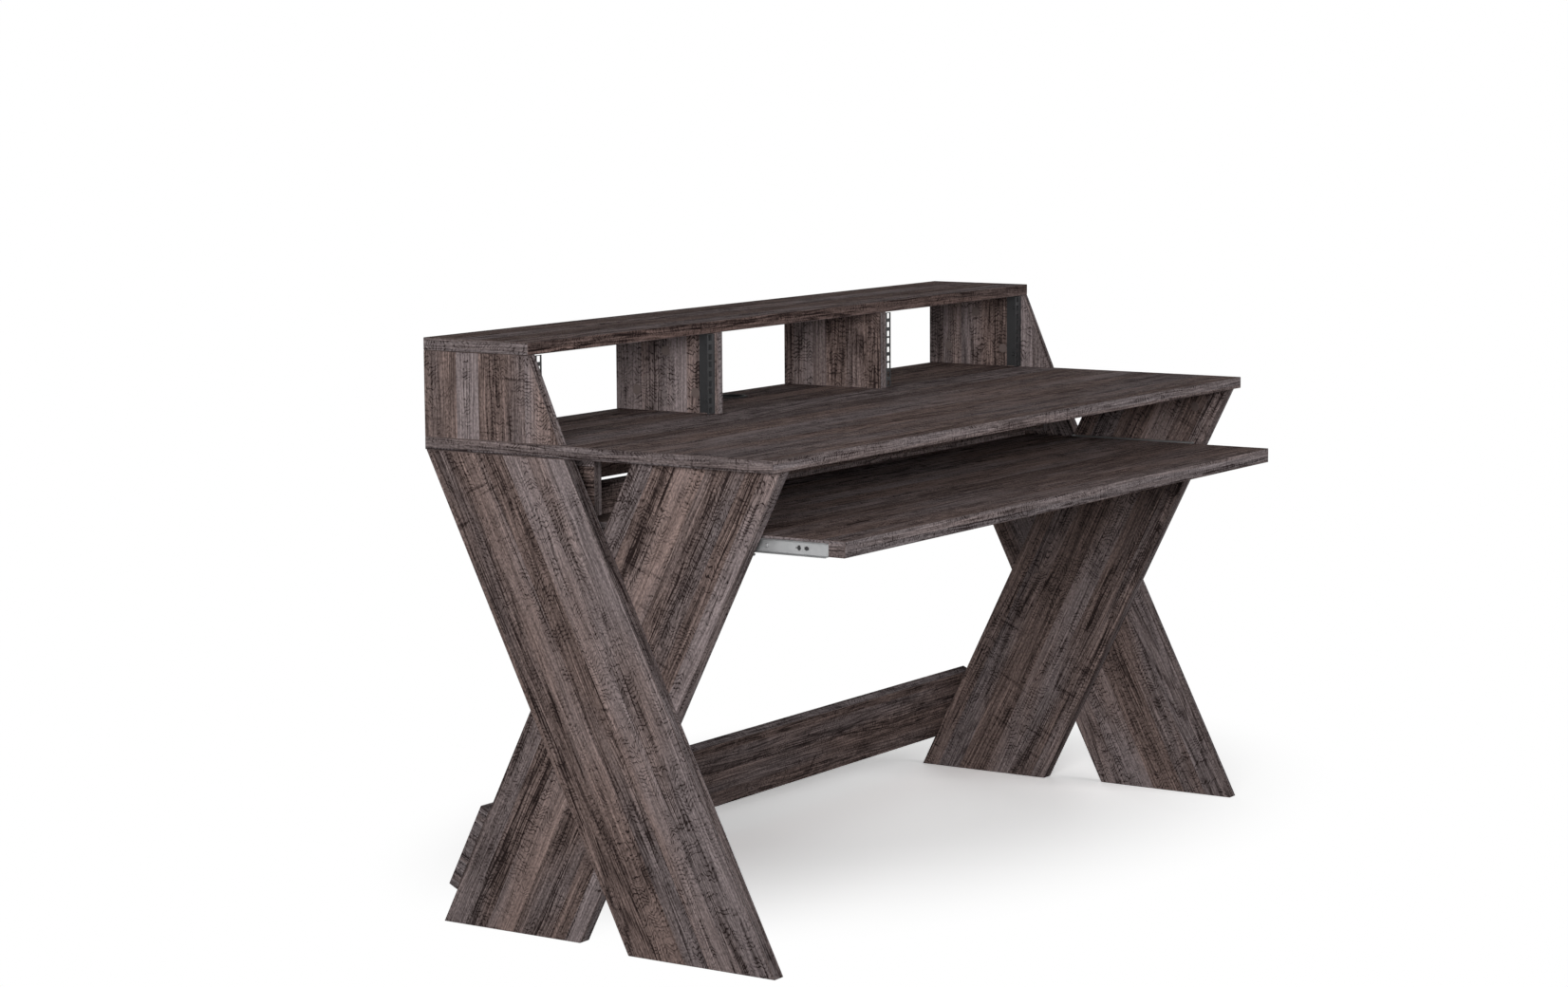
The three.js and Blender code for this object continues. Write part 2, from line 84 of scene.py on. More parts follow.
# Woodgrain: patches of noise in a metre along and across the grain
HUE_PATCHES = (2.2, 12.0)
TONE_PATCHES = (1.9, 14.0)
WIDE_SWINGS = (2.6, 14.0)
SMALL_SWINGS = (15.0, 60.0)
LINE_SHIFTS = (3.5, 60.0)
LINE_ZONES = (2.4, 30.0)
FINE_LINES = (9.0, 400.0)
PALE_LINES = (6.0, 250.0)
RING_FIELD = (1.5, 12.0)
SAW_PATCHES = (6.0, 20.0)
SAW_SHIFTS = (16.0, 50.0)
SAW_STROKES = (110.0, 36.0)
CUT_PATCHES = (2.6, 6.0)
LONG_CUTS = (95.0, 9.0)
GRIT = (190.0, 330.0)

# Woodgrain: lines and marks in a metre, by how many of them they drift, and how far lines swing sideways
STRIP_STEP = 37.0
COARSE_LINES = 155.0
LINE_DRIFT = 6.0
SAW_MARKS = 150.0
SAW_DRIFT = 8.0
TORN_ROWS_PER_MARK = 1.3
TORN_STEP = 0.31
TORN_ACROSS = 62.0
RING_COUNT = 15.0
WIDE_SWING = 22 * MM
SMALL_SWING = 5 * MM
CUT_SLANT = 0.1

# Woodgrain: how strongly each kind of mark shows
COARSE_WEIGHT = 0.54
FINE_WEIGHT = 0.47
RING_WEIGHT = 0.3
SAW_WEIGHT = 0.6
TORN_WEIGHT = 0.2
CUT_WEIGHT = 0.42
PALE_WEIGHT = 0.38
GRIT_WEIGHT = 1.7

# Sheet metal: the rounding on cut edges
METAL_ROUNDING = 0.25 * MM
SHORTEST_METAL_EDGE = 1 * MM
SHARP_FROM = 35
CAGE_SHARP_FROM = 40

# Slides
SLIDE_SHEET = 1.2 * MM
LEG_SCREW_SHARES = [0.16, 0.5, 0.84]
TRAY_SCREW_SHARES = [0.45, 0.7, 0.92]
SLOT_FROM_FRONT = 38.2 * MM
SLOT_PITCH = 13.4 * MM
BALL_RADIUS = 2.38 * MM
BALL_ROW_RISE = 13 * MM
BALL_ROW_DEPTH = 6.2 * MM
BALL_PITCH = 12 * MM
BALLS_PER_ROW = 6
BALL_SIDES = 16
BALL_RINGS = 10
CAGE_SHEET = 0.8 * MM
CAGE_WEB_DEPTH = 1.9 * MM
CAGE_FLANGE_RISE = 1.5 * MM
CAGE_FLANGE_REACH = 7.7 * MM
CAGE_BEND_STEPS = 5
BUMPER_ROUNDING = 1.1 * MM
BUMPER_ROUNDING_STEPS = 3

# Rails and steel angles
RAIL_SHEET = 2 * MM
RAIL_SIDE_FLANGE = 30 * MM
RACK_UNIT = 44.45 * MM
ANGLE_SHEET = 2 * MM
ANGLE_LEG = 25 * MM

# Screws and cam discs
HEAD_SIDES = 24
FIRST_TURN = 0.4
NEXT_TURN = 1.1
PAN_RIM = 3.35 * MM
PAN_HEIGHT = 1.95 * MM
FLAT_RIM = 3.3 * MM
LONG_RIM = 5 * MM
LONG_LENGTH = 60 * MM
LONG_SHANK = 2.5 * MM
CAM_RADIUS = 7.5 * MM
CAM_DEPTH = 12.2 * MM
CAM_TURN = 0.3
CAM_BOLT_RADIUS = 3.25 * MM
CAM_BOLT_SIDES = 16
CAP_RADIUS = 8.7 * MM
CAP_HEIGHT = 1.1 * MM

# Cable outlet
OUTLET_BORE = 50 * MM
OUTLET_WALL = 3 * MM
OUTLET_STEPS = 96

# Floor: the shadow shows in an oval round a middle place, and further out the floor turns plain white
FLOOR_SIZE = 30
FLOOR_BOUNCE = 0.42
FLOOR_PALE = 0.98
FLOOR_GLOW = 0.13
SHADOW_MIDDLE = Vector((0.35, 0.24, 0))
SHADOW_SQUEEZE = Vector((0.98, 1.5, 1))
SHADOW_REACH = 0.3
WHITE_FROM = 1.15

# Softboxes: place, target, width, height, power, and the angle that the light spreads over
WORLD_LEVEL = 0.07
SOFTBOXES = {
    "key": ((-5.4, -2.05, 1.78), (-0.7, 0.1, 1.29), 2.7, 1.6, 37.5, 72),
    "front": ((0.9, -4.4, 2.0), (0.0, 0.0, 1.2), 2.6, 1.2, 18.5, 80),
    "back": ((4.0, 3.4, 0.45), (0.0, 0.0, 0.55), 2.6, 0.6, 100, 180),
    "top": ((0.2, 0.2, 4.2), (0.0, 0.0, 0.0), 2.8, 2.8, 2.2, 180),
}

# Camera, from the corners of the desk in the photograph
IMAGE_WIDTH = 1652
FOCAL_PIXELS = 3703.256
SENSOR = 36
FARTHEST_SEEN = 200
CAMERA_PLACE = Vector((-5.045951, -3.112886, 1.373803))
CAMERA_TURN = 0.9886688
CAMERA_TILT = -0.1243548
CAMERA_ROLL = -0.0056519


def srgb(red, green, blue):
    """A colour read as three numbers up to 255, as the shader wants it"""
    shares = [value / 255 for value in (red, green, blue)]
    return tuple(s / 12.92 if s <= 0.04045 else ((s + 0.055) / 1.055) ** 2.4 for s in shares) + (1,)


def plain_grey(level):
    return (level, level, level, 1)


def add(tree, kind, inputs=None, **settings):
    """A new node. Each input is a socket to link or a value to set."""
    node = tree.nodes.new(kind)
    for name, value in settings.items():
        setattr(node, name, value)
    for name, value in (inputs or {}).items():
        if isinstance(value, bpy.types.NodeSocket):
            tree.links.new(value, node.inputs[name])
        else:
            node.inputs[name].default_value = value
    return node


def calc(tree, operation, *values, clamp=False):
    node = add(tree, "ShaderNodeMath", dict(enumerate(values)), operation=operation, use_clamp=clamp)
    return node.outputs[0]


def fade(tree, value, start, end, low=0.0, high=1.0):
    """Goes smoothly from low to high while the value goes from start to end"""
    node = add(
        tree,
        "ShaderNodeMapRange",
        {"Value": value, "From Min": start, "From Max": end, "To Min": low, "To Max": high},
        interpolation_type="SMOOTHSTEP",
    )
    return node.outputs["Result"]


def mix_colours(tree, share, first, second):
    return add(tree, "ShaderNodeMix", {0: share, 6: first, 7: second}, data_type="RGBA").outputs[2]


def mix_shaders(tree, share, first, second):
    return add(tree, "ShaderNodeMixShader", {0: share, 1: first, 2: second}).outputs[0]


def noise(tree, place, scale, detail=2.0, roughness=0.5):
    node = add(
        tree,
        "ShaderNodeTexNoise",
        {"Vector": place, "Scale": scale, "Detail": detail, "Roughness": roughness},
    )
    return node.outputs["Fac"]


def new_group(name, inputs):
    """A node group that puts out a colour, a roughness and a height"""
    group = bpy.data.node_groups.new(name, "ShaderNodeTree")
    for socket, kind in inputs.items():
        group.interface.new_socket(name=socket, in_out="INPUT", socket_type=f"NodeSocket{kind}")
    for socket, kind in {"Color": "Color", "Roughness": "Float", "Height": "Float"}.items():
        group.interface.new_socket(name=socket, in_out="OUTPUT", socket_type=f"NodeSocket{kind}")
    return group, group.nodes.new("NodeGroupInput").outputs, group.nodes.new("NodeGroupOutput")


def put_out(group, result, color, roughness, height):
    for name, socket in {"Color": color, "Roughness": roughness, "Height": height}.items():
        group.links.new(socket, result.inputs[name])


def woodgrain_group():
    """A printed woodgrain sheet. Place holds metres along and across the grain."""
    group, given, result = new_group(
        "woodgrain",
        {
            "Place": "Vector",
            "Warm": "Color",
            "Grey": "Color",
            "Dark": "Color",
            "Strip Width": "Float",
            "Line Strength": "Float",
        },
    )
    split = add(group, "ShaderNodeSeparateXYZ", {0: given["Place"]})
    along, across = split.outputs[0], split.outputs[1]

    def chained(operation, first, *others):
        for other in others:
            first = calc(group, operation, first, other)
        return first

    def total(*values):
        return chained("ADD", *values)

    def product(*values):
        return chained("MULTIPLY", *values)

    def stretched(patches, third, detail=2.0, line=across):
        """Noise with that many patches in a metre along and across the grain, in the layer given by third"""
        place = add(
            group,
            "ShaderNodeCombineXYZ",
            {0: product(along, patches[0]), 1: product(line, patches[1]), 2: third},
        )
        return noise(group, place.outputs[0], 1.0, detail)

    def centred(value, reach):
        """The noise as a shift to either side"""
        return product(calc(group, "SUBTRACT", value, 0.5), reach)

    def waves(turns, low, high):
        """Even lines, one for each whole turn"""
        return fade(group, calc(group, "SINE", product(turns, 2 * math.pi)), low, high)

    # Strips of veneer side by side, each with its own tone, hue and figure
    width = given["Strip Width"]
    strip = add(
        group,
        "ShaderNodeTexVoronoi",
        {"W": across, "Scale": calc(group, "DIVIDE", 1.0, width)},
        voronoi_dimensions="1D",
    )
    tone, hue, figure = add(group, "ShaderNodeSeparateColor", {0: strip.outputs["Color"]}).outputs
    own = product(total(tone, figure), STRIP_STEP)
    from_middle = calc(group, "DIVIDE", calc(group, "SUBTRACT", across, strip.outputs["W"]), width)
    lean = product(from_middle, fade(group, figure, 0.2, 0.8, -0.22, 0.22))

    # Hue and tone drift along each strip
    hue_drift = centred(stretched(HUE_PATCHES, own), 1.8)
    greyness = total(product(hue, 0.5), product(tone, 0.5), hue_drift)
    base = mix_colours(group, fade(group, greyness, 0.15, 0.85), given["Warm"], given["Grey"])
    tone_drift = centred(stretched(TONE_PATCHES, own), 0.9)
    depth = total(tone, tone_drift, lean)
    level = total(fade(group, tone, 0.0, 1.0, -0.13, 0.1), fade(group, depth, 0.0, 1.0, 0.88, 1.08))
    streaked = fade(group, depth, 0.95, 0.05, 0.66, 1.0)

    # Dark lines along the grain that swing a little from side to side, coarse and fine, and pale ones
    wide_swing = centred(stretched(WIDE_SWINGS, own), WIDE_SWING)
    small_swing = centred(stretched(SMALL_SWINGS, own), SMALL_SWING)
    swung = total(across, total(wide_swing, small_swing))
    line_turns = total(product(swung, COARSE_LINES), product(stretched(LINE_SHIFTS, own), LINE_DRIFT))
    zone = fade(group, stretched(LINE_ZONES, own, 1.0, swung), 0.46, 0.64)
    coarse = product(waves(line_turns, 0.1, 0.6), fade(group, zone, 0.0, 1.0, 0.34, 1.0))
    fine = fade(group, stretched(FINE_LINES, own, 1.0, swung), 0.53, 0.43)
    pale = fade(group, stretched(PALE_LINES, own, 1.0, swung), 0.53, 0.66)

    # Arched figures where the sheet was cut across the rings
    rings = waves(product(stretched(RING_FIELD, own, 1.0), RING_COUNT), 0.1, 0.9)
    rings = product(rings, fade(group, figure, 0.62, 0.8))

    # Short saw marks and torn rows across the grain, in patches, and a few long cuts
    patch = calc(group, "MAXIMUM", zone, fade(group, stretched(SAW_PATCHES, own), 0.36, 0.6))
    saw_turns = total(product(along, SAW_MARKS), product(stretched(SAW_SHIFTS, own), SAW_DRIFT))
    stroke = fade(group, stretched(SAW_STROKES, own, 1.0), 0.42, 0.52)
    saw = product(waves(saw_turns, 0.2, 0.9), stroke, patch)
    row = calc(group, "FLOOR", product(saw_turns, TORN_ROWS_PER_MARK))
    torn_place = add(
        group,
        "ShaderNodeCombineXYZ",
        {0: product(row, TORN_STEP), 1: product(across, TORN_ACROSS), 2: own},
    )
    torn = product(fade(group, noise(group, torn_place.outputs[0], 1.0, 1.0), 0.52, 0.6), patch)
    slanted = total(across, product(along, CUT_SLANT))
    sparse = fade(group, stretched(CUT_PATCHES, 3.0), 0.5, 0.58)
    cuts = product(fade(group, stretched(LONG_CUTS, 7.0, 1.0, slanted), 0.63, 0.75), sparse)

    lines = product(total(product(coarse, COARSE_WEIGHT), product(fine, FINE_WEIGHT)), streaked)
    marks = total(
        lines,
        product(rings, RING_WEIGHT),
        product(saw, SAW_WEIGHT),
        product(torn, TORN_WEIGHT),
        product(cuts, CUT_WEIGHT),
    )
    dark = calc(group, "MULTIPLY", marks, given["Line Strength"], clamp=True)

    grit = centred(stretched(GRIT, 0.0, 1.0), GRIT_WEIGHT)
    lightened = total(level, product(pale, PALE_WEIGHT), grit)
    levelled = add(group, "ShaderNodeVectorMath", {0: base, "Scale": lightened}, operation="SCALE")
    put_out(
        group,
        result,
        mix_colours(group, dark, levelled.outputs[0], given["Dark"]),
        fade(group, dark, 0.0, 1.0, 0.82, 0.95),
        product(dark, -1.0),
    )
    return group


def surface_group():
    """Fine grain, blotches and scratches, for metal and plastic"""
    group, given, result = new_group(
        "metal_surface",
        {
            "Place": "Vector",
            "Color": "Color",
            "Worn": "Color",
            "Low Roughness": "Float",
            "High Roughness": "Float",
            "Stretch": "Vector",
            "Grain Count": "Float",
        },
    )
    place, low, high = given["Place"], given["Low Roughness"], given["High Roughness"]
    stretched = add(group, "ShaderNodeVectorMath", {0: place, 1: given["Stretch"]}, operation="MULTIPLY")
    grain = noise(group, stretched.outputs[0], given["Grain Count"], 3.0)
    blotches = noise(group, place, 60.0, 3.0)
    scratches = fade(group, noise(group, place, 240.0, 4.0, 0.7), 0.6, 0.72)
    share = calc(
        group,
        "ADD",
        calc(group, "MULTIPLY", fade(group, blotches, 0.35, 0.65), 0.55),
        calc(group, "MULTIPLY", fade(group, grain, 0.35, 0.65), 0.45),
    )
    wear = calc(group, "MAXIMUM", calc(group, "MULTIPLY", share, 0.6), scratches)
    rougher = calc(group, "MULTIPLY", share, calc(group, "SUBTRACT", high, low))
    put_out(
        group,
        result,
        mix_colours(group, wear, given["Color"], given["Worn"]),
        calc(group, "ADD", low, rougher),
        calc(group, "SUBTRACT", grain, calc(group, "MULTIPLY", scratches, 0.3)),
    )
    return group


WOODGRAIN = woodgrain_group()
SURFACE = surface_group()


def new_material(name):
    material = bpy.data.materials.new(name)
    material.use_nodes = True
    tree = material.node_tree
    return material, tree, tree.nodes["Principled BSDF"]


def cover(tree, shader, group, inputs, bump_strength, bump_height):
    """Gives the shader the colour, roughness and bump that a group puts out"""
    surface = add(tree, "ShaderNodeGroup", inputs, node_tree=group).outputs
    relief = {"Strength": bump_strength, "Distance": bump_height, "Height": surface["Height"]}
    tree.links.new(surface["Color"], shader.inputs["Base Color"])
    tree.links.new(surface["Roughness"], shader.inputs["Roughness"])
    tree.links.new(add(tree, "ShaderNodeBump", relief).outputs[0], shader.inputs["Normal"])


def laminate(name, warm, grey, dark, strip_width, line_strength):
    """A printed board surface. Each colour is red, green and blue up to 255."""
    material, tree, shader = new_material(name)
    inputs = {
        "Place": add(tree, "ShaderNodeUVMap", uv_map="grain").outputs[0],
        "Warm": srgb(*warm),
        "Grey": srgb(*grey),
        "Dark": srgb(*dark),
        "Strip Width": strip_width,
        "Line Strength": line_strength,
    }
    cover(tree, shader, WOODGRAIN, inputs, PRINT_BUMP, PRINT_RELIEF)
    shader.inputs["Specular IOR Level"].default_value = LAMINATE_GLOSS
    return material


def hard_material(name, colour, worn, metallic, roughness, grain, bump_height, stretch=(1, 1, 1), gloss=0.5):
    """Metal or plastic. Roughness is a pair, and stretch is how the fine grain lies along X, Y and Z."""
    material, tree, shader = new_material(name)
    inputs = {
        "Place": add(tree, "ShaderNodeTexCoord").outputs["Object"],
        "Color": srgb(*colour),
        "Worn": srgb(*worn),
        "Low Roughness": roughness[0],
        "High Roughness": roughness[1],
        "Stretch": stretch,
        "Grain Count": grain,
    }
    cover(tree, shader, SURFACE, inputs, SURFACE_BUMP, bump_height)
    shader.inputs["Metallic"].default_value = metallic
    shader.inputs["Specular IOR Level"].default_value = gloss
    return material


LAMINATE = laminate("laminate_face", (145, 125, 119), (142, 130, 130), (44, 35, 34), 48 * MM, 1.0)
BAND = laminate("laminate_band", (138, 124, 122), (132, 123, 124), (46, 37, 37), 9 * MM, 1.0)
# The shelf's front edge band is darker than the other bands. It has a redder tone of its own, plus painted
# shade as if from things standing on the shelf.
SHELF_BAND_PAINTED_SHADE = laminate("shelf_band_painted_shade", (122, 101, 95), (112, 97, 94), (38, 29, 28), 16 * MM, 1.0)
ROUNDED = laminate("laminate_rounding", (122, 107, 103), (118, 107, 106), (50, 42, 42), 20 * MM, 0.9)
ZINC = hard_material(
    "zinc", (166, 167, 168), (184, 184, 185), 0.75, (0.42, 0.58), 1500, 0.03 * MM, stretch=(1, 0.06, 1)
)
BRIGHT = hard_material(
    "bright_steel", (205, 207, 209), (222, 223, 224), 1.0, (0.14, 0.24), 700, 0.01 * MM
)
BLACK_STEEL = hard_material(
    "black_steel", (30, 30, 32), (48, 48, 50), 0.1, (0.42, 0.6), 1600, 0.06 * MM
)
CAP_PLASTIC = hard_material(
    "cap_plastic", (98, 84, 80), (112, 98, 94), 0.0, (0.5, 0.66), 1300, 0.04 * MM
)
BLACK_PLASTIC = hard_material(
    "black_plastic", (16, 16, 17), (26, 26, 27), 0.0, (0.62, 0.78), 1100, 0.04 * MM, gloss=0.15
)


def finish_piece(name, bm, materials, body, stands_for=()):
    """Turns a bmesh into a piece of the desk"""
    mesh = bpy.data.meshes.new(name)
    bm.to_mesh(mesh)
    bm.free()
    for material in materials:
        mesh.materials.append(material)
    piece = bpy.data.objects.new(name, mesh)
    bpy.context.scene.collection.objects.link(piece)
    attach(piece, body)
    if stands_for:
        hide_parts(*stands_for)
    return piece


def copy_of(node):
    """The node's mesh, with its loose triangles joined into flat faces"""
    bm = bmesh.new()
    bm.from_mesh(nodes[node].data)
    bmesh.ops.remove_doubles(bm, verts=bm.verts, dist=0.005 * MM)
    bmesh.ops.dissolve_limit(bm, angle_limit=math.radians(1), verts=bm.verts, edges=bm.edges)
    bmesh.ops.recalc_face_normals(bm, faces=bm.faces)
    return bm


def round_edges(bm, radius, steps, shortest):
    """Rounds each outward edge that is at least that long, and returns the new faces"""
    edges = [
        edge
        for edge in bm.edges
        if len(edge.link_faces) == 2
        and edge.calc_length() > shortest
        and edge.calc_face_angle_signed() > math.radians(30)
    ]
    made = bmesh.ops.bevel(
        bm,
        geom=edges,
        offset=radius,
        offset_type="OFFSET",
        segments=steps,
        profile=0.5,
        affect="EDGES",
        clamp_overlap=True,
        material=-1,
    )
    return made["faces"]


def smooth_bends(bm, sharp_from):
    """Shades the faces smooth, apart from the edges at least that many degrees sharp"""
    for face in bm.faces:
        face.smooth = True
    for edge in bm.edges:
        edge.smooth = len(edge.link_faces) == 2 and edge.calc_face_angle(0) < math.radians(sharp_from)


def middle_of(node):
    low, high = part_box(node)
    return (low + high) / 2


def face_towards(node, side):
    """Where the node's outermost face towards that side of X lies"""
    low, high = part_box(node)
    return high.x if side > 0 else low.x


def board(node, order, grain=None, turned_ends=False, front_band=BAND):
    """A laminated board: its rounded copy, with the print laid along the grain and bands on its edges"""
    bm = copy_of(node)
    areas = {}
    for face in bm.faces:
        key = tuple(round(abs(value), 2) for value in face.normal)
        areas.setdefault(key, []).append(face)
    largest = max(areas.values(), key=lambda faces: sum(face.calc_area() for face in faces))
    broad = largest[0].normal.copy()
    longest = max(bm.edges, key=lambda edge: edge.calc_length())
    grain = grain or (longest.verts[1].co - longest.verts[0].co).normalized()
    across = broad.cross(grain)

    materials = [LAMINATE, BAND, ROUNDED, front_band]
    on_face, on_edge, on_rounding, on_front = range(len(materials))
    rounding = set(round_edges(bm, BOARD_ROUNDING, BOARD_ROUNDING_STEPS, SHORTEST_BOARD_EDGE))
    prints = bm.loops.layers.uv.new("grain")
    offset = order * PRINT_STEP
    for face in bm.faces:
        facing = face.normal.dot(broad)
        if abs(facing) > 0.99:
            side = 0 if facing > 0 else BAND_ACROSS
            face.material_index = on_face
            for loop in face.loops:
                place = loop.vert.co
                loop[prints].uv = (place.dot(grain) + offset.x, place.dot(across) + offset.y + side)
            continue
        edgeways = face.normal - facing * broad
        lengthwise = edgeways.cross(broad).normalized() if edgeways.length > 0.01 else grain
        over = broad
        if turned_ends and abs(lengthwise.dot(grain)) < 0.5:
            lengthwise, over = over, lengthwise
        shift = edgeways.dot(BAND_SHIFT) + offset.y + 2 * BAND_ACROSS
        if face in rounding:
            face.material_index = on_rounding
        else:
            face.material_index = on_front if face.normal.y < -0.9 else on_edge
        for loop in face.loops:
            place = loop.vert.co
            loop[prints].uv = (place.dot(lengthwise) + offset.x, place.dot(over) + shift)
    return finish_piece(f"{node}_board", bm, materials, nodes[node]["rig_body"], [node])


BOARDS = [
    ("tabletop", SIDEWAYS),
    ("monitor_shelf", None),
    ("rear_apron", None),
    ("keyboard_tray", None),
    ("tray_back_board", None),
    ("stretcher", None),
]
for side_name in SIDES:
    BOARDS += [
        (f"outer_leg_{side_name}", None),
        (f"inner_leg_{side_name}", None),
        (f"hutch_side_{side_name}", UP),
        (f"divider_{side_name}", UP),
        (f"side_board_{side_name}", None),
    ]
for order, (node, grain) in enumerate(BOARDS):
    # The shelf's front edge takes the darker band, which carries painted shade.
    front_band = SHELF_BAND_PAINTED_SHADE if node == "monitor_shelf" else BAND
    board(node, order, grain, node == "stretcher", front_band)


def parts_of(made, kind):
    return [part for part in made["geom"] if isinstance(part, kind)]


def turned_disc(profile, cross=None, depth=0.0):
    """A turned head along +Z from rings of radius and height, plain or with a cross recess in its top"""
    bm = bmesh.new()
    radius, height = profile[0]
    ring = bmesh.ops.create_circle(bm, cap_ends=False, segments=HEAD_SIDES, radius=radius)["verts"]
    bmesh.ops.translate(bm, verts=ring, vec=(0, 0, height))
    edges = list(bm.edges)
    bmesh.ops.contextual_create(bm, geom=edges)
    for next_radius, next_height in profile[1:]:
        made = bmesh.ops.extrude_edge_only(bm, edges=edges)
        ring, edges = parts_of(made, bmesh.types.BMVert), parts_of(made, bmesh.types.BMEdge)
        bmesh.ops.scale(bm, verts=ring, vec=(next_radius / radius, next_radius / radius, 1))
        bmesh.ops.translate(bm, verts=ring, vec=(0, 0, next_height - height))
        radius, height = next_radius, next_height

    if cross:
        arm, half = cross
        quarter = [(arm, -half), (arm, half), (half, half)]
        corners = []
        for turn in range(4):
            spin = Matrix.Rotation(turn * math.pi / 2, 3, "Z")
            corners += [bm.verts.new(spin @ Vector((x, y, height))) for x, y in quarter]
        recess = [bm.edges.new((corners[i], corners[(i + 1) % len(corners)])) for i in range(len(corners))]
        bmesh.ops.triangle_fill(bm, use_beauty=True, use_dissolve=False, edges=edges + recess, normal=UP)
        made = bmesh.ops.extrude_edge_only(bm, edges=recess)
        bottom, edges = parts_of(made, bmesh.types.BMVert), parts_of(made, bmesh.types.BMEdge)
        bmesh.ops.scale(bm, verts=bottom, vec=(0.75, 0.75, 1))
        bmesh.ops.translate(bm, verts=bottom, vec=(0, 0, -depth))
    bmesh.ops.contextual_create(bm, geom=edges)
    bmesh.ops.remove_doubles(bm, verts=bm.verts, dist=SAME_PLACE)
    bmesh.ops.recalc_face_normals(bm, faces=bm.faces)
    for face in bm.faces:
        face.smooth = abs(face.normal.z) < 0.98
    mesh = bpy.data.meshes.new("turned_disc")
    bm.to_mesh(mesh)
    bm.free()
    return mesh


PAN_HEAD = turned_disc(
    [
        (PAN_RIM, 0),
        (PAN_RIM, 0.4 * PAN_HEIGHT),
        (0.93 * PAN_RIM, 0.75 * PAN_HEIGHT),
        (0.78 * PAN_RIM, 0.96 * PAN_HEIGHT),
        (0.66 * PAN_RIM, PAN_HEIGHT),
    ],
    cross=(0.5 * PAN_RIM, 0.13 * PAN_RIM),
    depth=0.6 * PAN_HEIGHT,
)
FLAT_HEAD = turned_disc(
    [(0.6 * FLAT_RIM, -1.0 * MM), (FLAT_RIM, -0.1 * MM), (FLAT_RIM, 0.05 * MM), (0.9 * FLAT_RIM, 0.1 * MM)],
    cross=(0.5 * FLAT_RIM, 0.13 * FLAT_RIM),
    depth=0.8 * MM,
)
LONG_HEAD = turned_disc(
    [
        (0.3 * LONG_SHANK, -LONG_LENGTH),
        (LONG_SHANK, -0.93 * LONG_LENGTH),
        (LONG_SHANK, -3 * MM),
        (LONG_RIM, -0.3 * MM),
        (LONG_RIM, -0.1 * MM),
        (0.94 * LONG_RIM, 0),
    ],
    cross=(0.5 * LONG_RIM, 0.12 * LONG_RIM),
    depth=2.2 * MM,
)
CAM_DISC = turned_disc(
    [
        (0.9 * CAM_RADIUS, -CAM_DEPTH),
        (CAM_RADIUS, -CAM_DEPTH + 0.8 * MM),
        (CAM_RADIUS, -0.5 * MM),
        (0.93 * CAM_RADIUS, 0),
    ],
    cross=(0.68 * CAM_RADIUS, 0.14 * CAM_RADIUS),
    depth=2.4 * MM,
)
CAM_CAP = turned_disc(
    [
        (CAP_RADIUS, 0),
        (CAP_RADIUS, 0.35 * CAP_HEIGHT),
        (0.97 * CAP_RADIUS, 0.7 * CAP_HEIGHT),
        (0.9 * CAP_RADIUS, 0.93 * CAP_HEIGHT),
        (0.8 * CAP_RADIUS, CAP_HEIGHT),
    ]
)


def set_in(bm, mesh, place, out, turn=0.0):
    """Adds a head with its seat at the place, looking out along that direction"""
    before = set(bm.verts)
    bm.from_mesh(mesh)
    move = Matrix.Translation(place) @ out.to_track_quat("Z", "Y").to_matrix().to_4x4()
    move = move @ Matrix.Rotation(turn, 4, "Z")
    added = [vert for vert in bm.verts if vert not in before]
    bmesh.ops.transform(bm, matrix=move, verts=added)


def heads(name, mesh, places, material, body, stands_for=()):
    """Heads at places with their directions, each turned a little further than the last"""
    bm = bmesh.new()
    for i, (place, out) in enumerate(places):
        set_in(bm, mesh, place, out, FIRST_TURN + NEXT_TURN * i)
    return finish_piece(name, bm, [material], body, stands_for)


def metal_copy(node, name, material, radius=METAL_ROUNDING, steps=1):
    """The node again with its cut edges broken, and its bends smooth"""
    bm = copy_of(node)
    round_edges(bm, radius, steps, SHORTEST_METAL_EDGE)
    bmesh.ops.recalc_face_normals(bm, faces=bm.faces)
    smooth_bends(bm, SHARP_FROM)
    return finish_piece(name, bm, [material], nodes[node]["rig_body"], [node])


